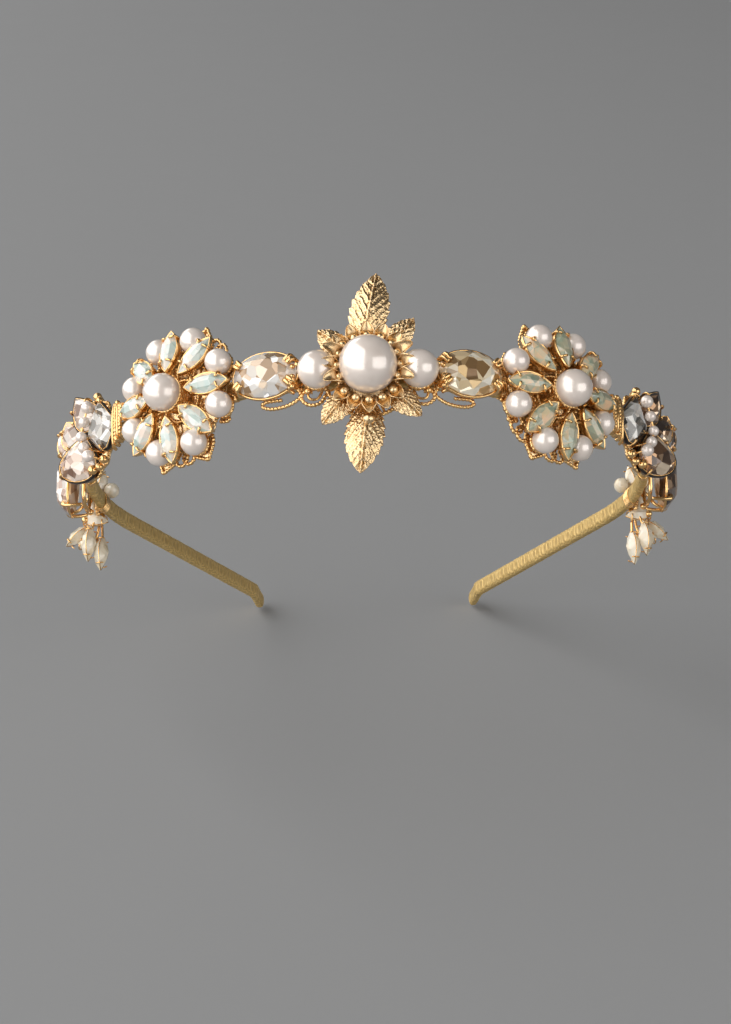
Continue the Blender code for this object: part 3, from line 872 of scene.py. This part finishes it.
def make_centre():
    """Everything on the middle ornament."""
    place = on_band(0)
    make_backing()
    for name, values in LEAVES.items():
        make_leaf(name, *values)
    make_petal_ring()
    rise = PLATE_TOP + 0.3
    make_pearl("pearl_center", (0, 0, rise + CENTER_PEARL / 2), CENTER_PEARL, place, ["center_pearl"],
               56)
    form = Form()
    for side, sign in SIDES:
        spot = (sign * SIDE_PEARL_X, SIDE_PEARL_Y, rise + SIDE_PEARL / 2)
        make_pearl("pearl_side_" + side, spot, SIDE_PEARL, place, ["side_pearl_" + side])
        ball(form, (sign * 14.45, 0.7, 6.6), 0.55, place)
        wire(form, circle(3.1, 3.4, 24, *spot[:2]), 0.42, place, closed=True, rope=True)
        for k in range(3):
            y = 2.4 - 2.2 * k
            wire(form, [(sign * 14.3, y, 2.0), (sign * 15.6, y - 0.5, 3.4), (sign * 16.2, y - 1.3, 2.6),
                        (sign * 15.2, y - 1.7, 1.9)], 0.42, place)
            ball(form, (sign * 15.5, y - 1.0, 3.9), 0.55, place)
    finish_piece("pearl_cups", form, [SETTING])
    make_drop_bead(place @ shift(0, -10.4, 4.4))


# --- Stones in settings -----------------------------------------------------------------------

def claw(form, x, y, out, low, girdle, top, reach, radius, place):
    """A prong that rises outside a stone and bends in over its crown."""
    out = Vector(out).normalized()
    stops = ((0.15, low), (0.42, (low + girdle) / 2), (0.46, girdle), (0.20, top - 0.1),
             (-reach * 0.6, top + 0.15), (-reach, top + 0.12))
    points = [(x + out.x * d, y + out.y * d, z) for d, z in stops]
    wire(form, points, lambda t: radius * (1.0 + 0.15 * t), place, step=0.3)


def on_oval(a, scale=1.0):
    """A point on the rim of the oval crystal."""
    return OVAL_LENGTH / 2 * cos(a) * scale, OVAL_WIDTH / 2 * sin(a) * scale


def make_oval(side, sign):
    """A large oval crystal in a pierced cup with four double claws, and a rope loop below it."""
    place = on_band(sign * OVAL_AT, OVAL_RISE)
    rim = oval(OVAL_LENGTH, OVAL_WIDTH, 48)
    form = Form()
    wall(form, rim,
         ((0.34, 4.45), (0.12, 4.55), (-0.10, 4.35), (-0.35, 3.6), (-0.1, 3.3), (0.30, 3.6)), place)
    wall(form, [(x * 0.62, y * 0.62) for x, y in rim],
         ((0.4, 2.2), (0.1, 2.3), (-0.3, 1.9), (-0.3, BACK + 0.05), (0.3, BACK + 0.05)), place)
    for i in range(14):
        x, y = on_oval(2 * pi * (i + 0.5) / 14)
        wire(form, [(x * k, y * k, z) for k, z in ((0.64, 1.9), (0.88, 2.6), (0.99, 3.6))], 0.3, place)
    for angle in (32, 148, 212, 328):
        a = radians(angle)
        for spread in (-0.09, 0.09):
            b = a + spread
            claw(form, *on_oval(b), (cos(b) / OVAL_LENGTH, sin(b) / OVAL_WIDTH), 2.4, 4.6, 5.9, 1.25,
                 0.46, place)
        ball(form, (*on_oval(a, 0.97), 5.55), 0.72, place)
    near = -sign
    loop = ((7.2, -3.0), (7.0, -5.0), (4.4, -6.5), (1.0, -6.9), (-1.2, -6.2), (-0.6, -5.2),
            (3.0, -5.2))
    wire(form, [(near * x, y, 2.6) for x, y in loop], ROPE, place, rope=True, mark=1)
    for k in range(4):
        y = 1.8 - 1.5 * k
        wire(form, [(near * 6.4, y, 2.0), (near * 8.2, y + 0.3, 3.6), (near * 9.0, y - 0.5, 2.6),
                    (near * 8.0, y - 1.2, 1.9)], 0.36, place, rope=k % 2 == 0, mark=1)
    finish_piece("oval_setting_" + side, form, [SETTING, ROPE_GOLD], ["oval_bezel_" + side])
    form = Form()
    small = oval(OVAL_LENGTH, OVAL_WIDTH, 8)
    offset = oval(OVAL_LENGTH, OVAL_WIDTH, 8, 0.5)
    full = oval(OVAL_LENGTH, OVAL_WIDTH, 16)
    corners = (rings(full, (1.0, 4.5), (1.0, 4.85)) + rings(small, (0.80, 6.15))
               + rings(offset, (0.56, 7.1), (0.70, 3.2)) + rings(small, (0.40, 2.3))
               + [Vector((0, 0, 1.85))])
    cut_stone(form, corners, 4.45, place)
    finish_piece("oval_stone_" + side, form, OVAL_CUT[side], ["oval_crystal_" + side],
                 False)


def boat_claws(form, length, width, at, spread, shape, place):
    """Four claws on a navette, at a share of its length to each side of its middle."""
    for x in (-at, at):
        for y in (-1, 1):
            py = y * width / 2 * (1 - (2 * x) ** 2)
            claw(form, x * length, py, (x * spread, y), *shape, place)


def boat_setting(form, length, width, place, thick=0.26):
    """A navette's cup with its claws. The stone's girdle is at height 0."""
    wall(form, boat(length, width, 28),
         ((thick, 0.30), (0.08, 0.36), (-0.12, 0.05), (-0.55, -1.9), (-0.20, -1.9),
          (thick - 0.04, -0.6)), place)
    boat_claws(form, length, width, 0.30, 0.9, (-1.2, 0.2, 0.95, 0.85, 0.25), place)


def boat_stone(form, length, width, place, low=0.0, high=1.0):
    """A navette with a long table, and facets that run to its points."""
    rim = boat(length, width, 12)
    middle = [(length * x, width * y) for x, y in (
        (0.30, 0), (0.16, 0.26), (-0.16, 0.26), (-0.30, 0), (-0.16, -0.26), (0.16, -0.26))]
    corners = (rings(rim, (1.0, 0.0), (1.0, 0.22)) + rings(middle, (1.0, 1.15))
               + [Vector((length * 0.13, 0, 1.45)), Vector((-length * 0.13, 0, 1.45))]
               + rings(middle, (0.8, -0.9)) + [Vector((0, 0, -1.3))])
    cut_stone(form, corners, -0.05, place, low, high, flat=0.01)


def make_flower(side, sign):
    """Filigree plate, eight pearls round its rim, a star of opal navettes and a large pearl."""
    place = on_band(sign * FLOWER_AT) @ shift(-0.3 * sign, -0.4)
    rim_place = place @ shift(-0.7 * sign, 0)
    spokes = [rim_place @ turn(45.0 * (i + 0.5) + FLOWER_TURN, "Z") for i in range(8)]
    form = Form()
    disc = []
    for i in range(96):
        a = 2 * pi * i / 96
        r = 11.4 + 0.5 * cos(16 * a)
        disc.append((r * cos(a), r * sin(a)))
    slab(form, disc, BACK + 0.05, PLATE_TOP - 0.1, place)
    for r, z, size in ((4.6, 2.5, 0.5), (11.2, 2.2, 0.36)):
        wire(form, circle(r, z, 40), size, place, closed=True, rope=True, mark=1)
    for i, spoke in enumerate(spokes):
        away = (45.0 * (i + 0.5) + FLOWER_TURN - (180 if sign > 0 else 0) + 180) % 360 - 180
        clear_of_band = abs(away) > 30
        tip = 15.9 if clear_of_band else 13.6
        slab(form, [(11.0, -2.6), (13.4, -2.4), (tip, 0), (13.4, 2.4), (11.0, 2.6)], 1.6, 2.05, spoke)
        half = [(11.4, 3.0), (12.6, 2.85), (13.7, 2.3), (tip - 0.8, 0.9)]
        edge = [(x, -y, 2.1) for x, y in half] + [(tip, 0, 2.1)] + [(x, y, 2.1) for x, y in half[::-1]]
        wire(form, edge, ROPE, spoke, rope=True, mark=1)
        ball(form, (tip, 0, 2.25), 0.52, spoke, mark=1)
        half = [(11.6, 1.1, 2.1), (12.9, 1.55, 2.2)]
        loop = ([(x, -y, z) for x, y, z in half] + [(14.3, -0.8, 2.3), (14.4, 0.8, 2.3)] + half[::-1])
        for turn_by in (-18.0, -27.0) if clear_of_band else ():
            wire(form, loop, ROPE, spoke @ turn(turn_by, "Z"), rope=True, mark=1)
        for r, spread, size in ((6.6, 0.0, 0.62), (7.9, 7.0, 0.5), (7.9, -7.0, 0.5), (9.0, 0.0, 0.55)):
            ball(form, (r, r * sin(radians(spread)), 2.9), size, spoke, levels=8, segments=10, mark=1)
        wire(form, [(5.0, 0, 2.6), (6.0, 1.0, 3.0), (8.4, 1.3, 2.8), (9.6, 0, 2.6), (8.4, -1.3, 2.8),
                    (6.0, -1.0, 3.0)], 0.28, spoke, closed=True, rope=True, mark=1)
    finish_piece("flower_filigree_" + side, form, [GOLD, ROPE_GOLD], ["flower_plate_" + side])

    make_pearl("pearl_flower_" + side, (0, 0, FLOWER_PEARL_RISE), SIDE_PEARL, place,
               ["flower_pearl_" + side], 44)
    form = Form()
    rise = PLATE_TOP + 0.3 + RIM_PEARL / 2
    for spoke in spokes:
        ball(form, (RIM_PEARL_R, 0, rise), RIM_PEARL / 2, spoke, levels=26, segments=40)
    finish_piece("pearls_rim_" + side, form, [PEARL], ["rim_pearls_" + side])

    cups = Form()
    for z, r, size in ((6.0, 2.9, 0.5), (4.2, 2.2, 0.6), (7.4, 3.75, 0.34)):
        wire(cups, circle(r, z, 24), size, place, closed=True, rope=z > 7)
    for i, spoke in enumerate(spokes):
        a = radians(45 * i + 24)
        wire(cups, [(r * cos(a), r * sin(a), z) for r, z in ((2.6, 2.2), (3.0, 5.0), (3.85, 7.6))],
             0.34, place)
        wire(cups, circle(2.1, 3.1, 20, RIM_PEARL_R), 0.34, spoke, closed=True, rope=True)
        spot = (place @ turn(45.0 * i + FLOWER_TURN, "Z") @ shift(NAVETTE_R, 0, NAVETTE_RISE)
                @ turn(NAVETTE_TILT, "Y"))
        boat_setting(cups, NAVETTE_LENGTH, NAVETTE_WIDTH, spot)
        wire(cups, [(-0.8, 0, -1.6), (-0.4, 0, -3.0), (0, 0, -4.6)], 0.7, spot)
        stone = Form()
        boat_stone(stone, NAVETTE_LENGTH, NAVETTE_WIDTH, spot)
        name = f"{side}_{i + 1}"
        stone.marks = [0] * len(stone.faces)
        finish_piece("opal_" + name, stone, [OPALS[side]], ["navette_" + name], False)
    finish_piece("flower_settings_" + side, cups, [SETTING])


# --- Side clusters ----------------------------------------------------------------------------

def kite(length, width):
    """A kite outline with blunt corners, its long point towards +X."""
    x, y = length / 2, width / 2
    return [(x, 0.35), (-0.10 * x, y), (-0.22 * x, y), (-x, 0.8), (-x, -0.8), (-0.22 * x, -y),
            (-0.10 * x, -y), (x, -0.35)]


def divide(outline, steps):
    """An outline with each side cut into even steps."""
    result = []
    for i, (x, y) in enumerate(outline):
        after = outline[(i + 1) % len(outline)]
        for j in range(steps):
            t = j / steps
            result.append((x + (after[0] - x) * t, y + (after[1] - y) * t))
    return result


def pear_setting(form, rim, place, claws):
    """A stone's cup with a black foil edge, and claws at some corners. The girdle is at height 0."""
    wall(form, rim,
         ((0.09, 0.22), (0.0, 0.28), (-0.12, 0.10), (-0.45, -1.9), (-0.15, -1.9), (0.12, -0.5)), place)
    wall(form, rim, ((0.10, -1.1), (0.34, -0.6), (0.36, 0.10), (0.26, 0.22), (0.05, -1.1)), place,
         mark=1)
    for k in claws:
        claw(form, *rim[k], rim_normals(rim)[k], -1.2, 0.3, 1.25, 0.55, 0.22, place)


def faceted(form, rim, place):
    """A stone cut in large facets over any rim."""
    corners = (rings(rim, (1.0, 0.0), (1.0, 0.3)) + rings(rim[::2], (0.76, 1.254))
               + rings(rim[1::2], (0.50, 1.9)) + rings(rim[::2], (0.6, -0.9))
               + [Vector((0, 0, -1.5))])
    cut_stone(form, corners, -0.05, place, flat=0.05)


# Each stone: x, y, length, width, heading, tilt and rise.
PEARS = {
    "pear_inner": (5.5, 0.9, 11.4, 8.2, 80.0, -14.0, 4.3),
    "pear_upper": (11.8, 5.6, 9.4, 7.0, 58.0, -26.0, 5.0),
    "pear_lower": (12.9, -4.9, 10.6, 9.6, 102.0, -30.0, 5.3),
}


def stone_place(angle, sign, x, y, rise, heading, tilt):
    """The frame of a stone in or beside a cluster, mirrored from side to side."""
    return (on_band(sign * angle) @ shift(sign * x, y, rise) @ turn(sign * tilt, "Y")
            @ turn(90 - sign * (90 - heading), "Z"))


# The two outer navettes: angle, x, y, length, width, heading, tilt and rise.
NAVETTES = ((CLUSTER_AT, 15.6, 0.9, 9.0, 6.4, 62.0, -26.0, 5.3),
            (76.0, 0.0, 4.2, 8.4, 5.6, 84.0, -34.0, 6.2))


def make_cluster(side, sign):
    """Link scrolls, a plate with pear crystals in cups, and a column of small pearls."""
    place = on_band(sign * CLUSTER_AT)
    form = Form()
    outline = []
    for i in range(72):
        a = 2 * pi * i / 72
        r = 1 / hypot(cos(a) / 7.9, sin(a) / 9.2) + 0.35 * cos(14 * a)
        outline.append((sign * (CLUSTER_X + r * cos(a)), r * sin(a)))
    if sign < 0:
        outline.reverse()
    slab(form, outline, BACK + 0.05, PLATE_TOP - 0.05, place)
    wire(form, [(x, y, 2.2) for x, y in outline], 0.34, place, closed=True, rope=True, mark=1)
    for k in range(4):
        x = 1.7 - 1.3 * k
        line = ((x + 1.2, 4.6 - 0.4 * k, 2.1), (x, 4.9 - 0.5 * k, 3.3 + 0.3 * k),
                (x - 0.8, 2.0, 4.2 + 0.2 * k), (x - 0.9, -1.5, 4.2 + 0.2 * k),
                (x, -4.6 + 0.4 * k, 3.4 + 0.2 * k), (x + 1.2, -4.9 + 0.5 * k, 2.1))
        points = [(sign * px, py, pz) for px, py, pz in line]
        wire(form, points, 0.42, place, rope=k % 2 == 1, mark=1)
        wire(form, [(px + sign * 0.7, py * 0.72, pz - 0.4) for px, py, pz in points], 0.34, place,
             rope=k % 2 == 0, mark=1)
    for k in range(5):
        ball(form, (sign * (0.5 * (k % 2) - 0.9), 4.2 - 2.1 * k, 4.2), 0.6, place, mark=1)
    settings = Form()
    for key, (x, y, length, width, heading, tilt, rise) in PEARS.items():
        spot = stone_place(CLUSTER_AT, sign, x, y, rise, heading, tilt)
        stone = Form()
        cut, slot = PEAR_CUT, "rose_crystal"
        if key == "pear_inner":
            cut, slot = KITE_CUT, "clear_crystal"
            rim = kite(length, width)
            pear_setting(settings, divide(rim, 4), spot, (0, 14))
            faceted(stone, rim, spot)
        else:
            pear_setting(settings, drop(length, width, 32), spot, (6, 13, 26))
            faceted(stone, drop(length, width, 10), spot)
        finish_piece(f"{key}_stone_{side}", stone, cut[side], [f"{key}_{side}"], False)
    stones = Form()
    for angle, x, y, length, width, heading, tilt, rise in NAVETTES:
        spot = stone_place(angle, sign, x, y, rise, heading, tilt)
        boat_setting(settings, length, width, spot, thick=0.12)
        boat_stone(stones, length, width, spot)
        foot = on_band(sign * angle) @ Vector((sign * x, y * 0.25, 0.9))
        wire(settings, [(0, 0, -0.9), (0, 0, -2.4), spot.inverted() @ foot], 0.85, spot)
        ball(settings, (0, 0, -1.6), 1.3, spot)
    finish_piece("navettes_outer_" + side, stones, PEAR_CUT[side], (), False)
    for x, y, z, size in (
            (7.4, 8.2, 4.4, 1.0), (6.2, 6.9, 4.6, 0.8), (9.4, -8.2, 4.0, 1.1), (7.2, -8.0, 3.6, 0.9),
            (5.2, -6.9, 3.8, 1.0), (18.4, 2.6, 3.6, 0.8), (12.0, -8.9, 3.4, 0.7)):
        ball(settings, (sign * x, y, z), size, place)
    finish_piece("cluster_settings_" + side, settings, [SETTING, BLACK_FOIL])
    finish_piece("cluster_filigree_" + side, form, [GOLD, ROPE_GOLD], ["cluster_plate_" + side])
    pearls = Form()
    for (x, y), size in zip(STRING_BEADS, (1.0, 0.88, 0.85, 0.88, 0.98)):
        ball(pearls, (sign * x, y, STRING_RISE), STRING_PEARL / 2 * size, place, levels=20, segments=30)
    finish_piece("pearls_string_" + side, pearls, [PEARL], ["pearl_string_" + side])
    cord = Form()
    wire(cord, [(sign * x, y, STRING_RISE) for x, y in STRING_BEADS], 0.25, place)
    for x, y in STRING_BEADS:
        wire(cord, [(sign * x, y, 2.1), (sign * x, y, STRING_RISE)], 0.3, place)
    finish_piece("pearl_wires_" + side, cord, [SETTING])


def make_octagon(side, sign):
    """A step-cut crystal in a cup with four corner claws."""
    place = on_band(sign * OCTAGON_AT, OCTAGON_RISE)
    rim = octagon(OCTAGON_LENGTH, OCTAGON_WIDTH)
    form = Form()
    wall(form, rim, ((0.36, 5.65), (0.15, 5.75), (-0.12, 5.5), (-0.10, 5.2), (0.26, 5.2)), place)
    wall(form, [(x * 0.8, y * 0.8) for x, y in rim],
         ((0.5, 2.2), (0.2, 2.35), (-0.3, 2.1), (-0.3, BACK + 0.05), (0.5, BACK + 0.05)), place)
    for x, y in ((1, 1), (-1, 1), (1, -1), (-1, -1)):
        px, py = x * (OCTAGON_WIDTH / 2 - 1.2), y * (OCTAGON_LENGTH / 2 - 1.2)
        claw(form, px, py, (x, y), 2.2, 5.4, 6.7, 1.4, 0.44, place)
        ball(form, (px + x * 0.1, py + y * 0.1, 6.3), 0.60, place)
    for y in (-6.0, 6.0):
        wire(form, [(0, y * 0.6, 1.9), (0, y, 3.4), (0, y * 1.14, 5.2)], 0.42, place)
    finish_piece("octagon_setting_" + side, form, [SETTING], ["octagon_bezel_" + side])
    form = Form()
    corners = rings(rim, (1.0, 5.6), (1.0, 6.0), (0.88, 7.0), (0.74, 7.9), (0.60, 8.5), (0.84, 4.9),
                    (0.60, 4.3), (0.30, 3.9))
    cut_stone(form, corners, 5.55, place)
    finish_piece("octagon_stone_" + side, form, PEAR_CUT[side], ["octagon_crystal_" + side],
                 False)


# Spray: each stone's two ends and its length, then the opal beads and the gold ones.
SPRAY_STONES = (
    ((1.5, -4.4, 5.0), (0.4, -8.4, 9.8), 8.0),
    ((0.0, -9.6, 2.4), (0.4, -8.6, 6.6), 6.5),
    ((0.6, -6.8, 1.3), (0.0, -15.6, 1.4), 9.0),
    ((-1.6, -4.9, 3.6), (-1.2, -13.4, 4.2), 9.0),
    ((0.0, -3.6, 0.9), (0.4, -2.8, 5.6), 7.0),
    ((1.2, 2.4, 3.2), (5.6, 6.6, 4.4), 8.0),
    ((-1.4, 2.6, 3.2), (-5.4, 6.8, 4.2), 8.0),
    ((0.0, 3.0, 2.6), (-0.4, 8.6, 1.0), 7.0),
)
SPRAY_BEADS = ((0.0, 4.2, -0.8, 1.9), (0.2, 7.0, 1.8, 1.5), (-2.4, 1.8, 4.4, 1.2),
               (2.6, 1.0, 4.4, 1.2))
SPRAY_GOLD = ((3.6, 1.4, 3.4), (-3.8, 0.8, 3.4), (-3.4, -2.0, 3.2), (3.4, -2.6, 4.4),
              (4.2, -1.6, 3.2), (1.8, -2.2, 5.2), (-1.0, -3.0, 5.4), (2.4, 3.2, 4.6),
              (-0.6, -6.0, 4.6))


def make_spray(side, sign):
    """Opal navettes held by thin wires that fan out from one hub, with beads between them."""
    place = on_band(sign * SPRAY_AT)
    cups, stones = Form(), Form()
    hub = Vector((0, 0, SPRAY_RISE - 1.0))
    for start, end, length in SPRAY_STONES:
        start = Vector((start[0] * sign, start[1], start[2]))
        end = Vector((end[0] * sign, end[1], end[2]))
        ahead = (end - start).normalized()
        lean = Vector((0, 0.25, 1))
        up = (lean - ahead * lean.dot(ahead)).normalized()
        axes = Matrix((ahead, up.cross(ahead), up)).transposed().to_4x4()
        spot = place @ Matrix.Translation((start + end) / 2) @ axes
        width = length * 0.52
        wall(cups, boat(length, width, 20), ((0.09, 0.10), (0.0, 0.13), (0.0, -0.10), (0.09, -0.10)),
             spot)
        boat_claws(cups, length, width, 0.34, 1.0, (-0.9, 0.1, 0.8, 0.5, 0.16), spot)
        boat_stone(stones, length, width, spot @ Matrix.Diagonal((1, 1, 1.3, 1)), 0.3, 0.7)
        middle = start.lerp(hub, 0.5) + Vector((0, 0, -0.6))
        wire(cups, [hub, middle, start.lerp(end, 0.25)], 0.34, place)
    ball(stones, hub, 2.2, place, levels=16, segments=24)
    for x, y, z, size in SPRAY_BEADS:
        ball(stones, (x * sign, y, z), size, place, levels=14, segments=20)
        wire(cups, [hub, (x * sign, y, z)], 0.3, place)
    for x, y, z in SPRAY_GOLD:
        ball(cups, (x * sign, y, z), 0.85, place)
    wire(cups, circle(2.2, 2.0, 24), 0.5, place, closed=True, rope=True)
    wire(cups, [(0, 0, 1.3), (0, 0, 3.0)], 1.2, place)
    finish_piece("spray_settings_" + side, cups, [SETTING])
    stones.marks = [0] * len(stones.faces)
    finish_piece("spray_opals_" + side, stones, [IVORY], ["spray_" + side], False)


# --- Stage ------------------------------------------------------------------------------------

def add_lamp(name, width, height, power, place):
    """A rectangular light that shines along its own -Z."""
    light = bpy.data.lights.new(name, "AREA")
    light.shape = "RECTANGLE"
    light.size, light.size_y = width, height
    light.energy = power
    put(name, light).matrix_world = place


def make_stage():
    """A seamless floor, a window-like light on the left, a small one on the right and a faint glow."""
    reach = FLOOR_REACH
    mesh = bpy.data.meshes.new("floor")
    mesh.from_pydata([(-reach, -reach, 0), (reach, -reach, 0), (reach, reach, 0), (-reach, reach, 0)],
                     [], [(0, 1, 2, 3)])
    mesh.materials.append(FLOOR)
    put("floor", mesh)
    world = bpy.data.worlds.new("studio")
    bpy.context.scene.world = world
    world.use_nodes = True
    sky = world.node_tree.nodes["Background"].inputs
    sky["Color"].default_value = (0.90, 0.90, 0.90, 1.0)
    sky["Strength"].default_value = AMBIENT
    right, up, back = Euler([radians(angle) for angle in CAMERA_TURN]).to_matrix().col
    for name, around, away, lift, width, height, power, side in LIGHTS:
        a = radians(around)
        out = right * sin(a) + back * cos(a)
        axes = Matrix((up.cross(out) * side, up, out * side)).transposed().to_4x4()
        add_lamp(name, width, height, power,
                 Matrix.Translation(LIGHT_AIM + out * away + up * lift) @ axes)
    axes = (GLOW_AIM - GLOW_AT).to_track_quat("-Z", "Y").to_matrix().to_4x4()
    add_lamp("backdrop_glow", GLOW_SIZE, GLOW_SIZE, GLOW_POWER, Matrix.Translation(GLOW_AT) @ axes)


def make_camera():
    """A long lens, level with the lean of the band."""
    data = bpy.data.cameras.new("camera")
    data.lens = LENS
    data.sensor_width = SENSOR
    data.clip_start = 0.01
    camera = put("camera", data)
    camera.location = CAMERA_AT
    camera.rotation_euler = [radians(angle) for angle in CAMERA_TURN]
    bpy.context.scene.camera = camera
    bpy.context.scene.view_settings.view_transform = "Standard"


def dress_cores():
    """The spring strips keep their CAD shape, and get a drawn steel finish."""
    for name in ("band_core_front", "arm_core_left", "arm_core_right"):
        for slot in frame["nodes"][name].material_slots:
            slot.material = STEEL


make_camera()
make_stage()
dress_cores()
make_band()
bind_band()
make_centre()
for side_name, side_sign in SIDES:
    make_oval(side_name, side_sign)
    make_flower(side_name, side_sign)
    make_cluster(side_name, side_sign)
    make_octagon(side_name, side_sign)
    make_spray(side_name, side_sign)
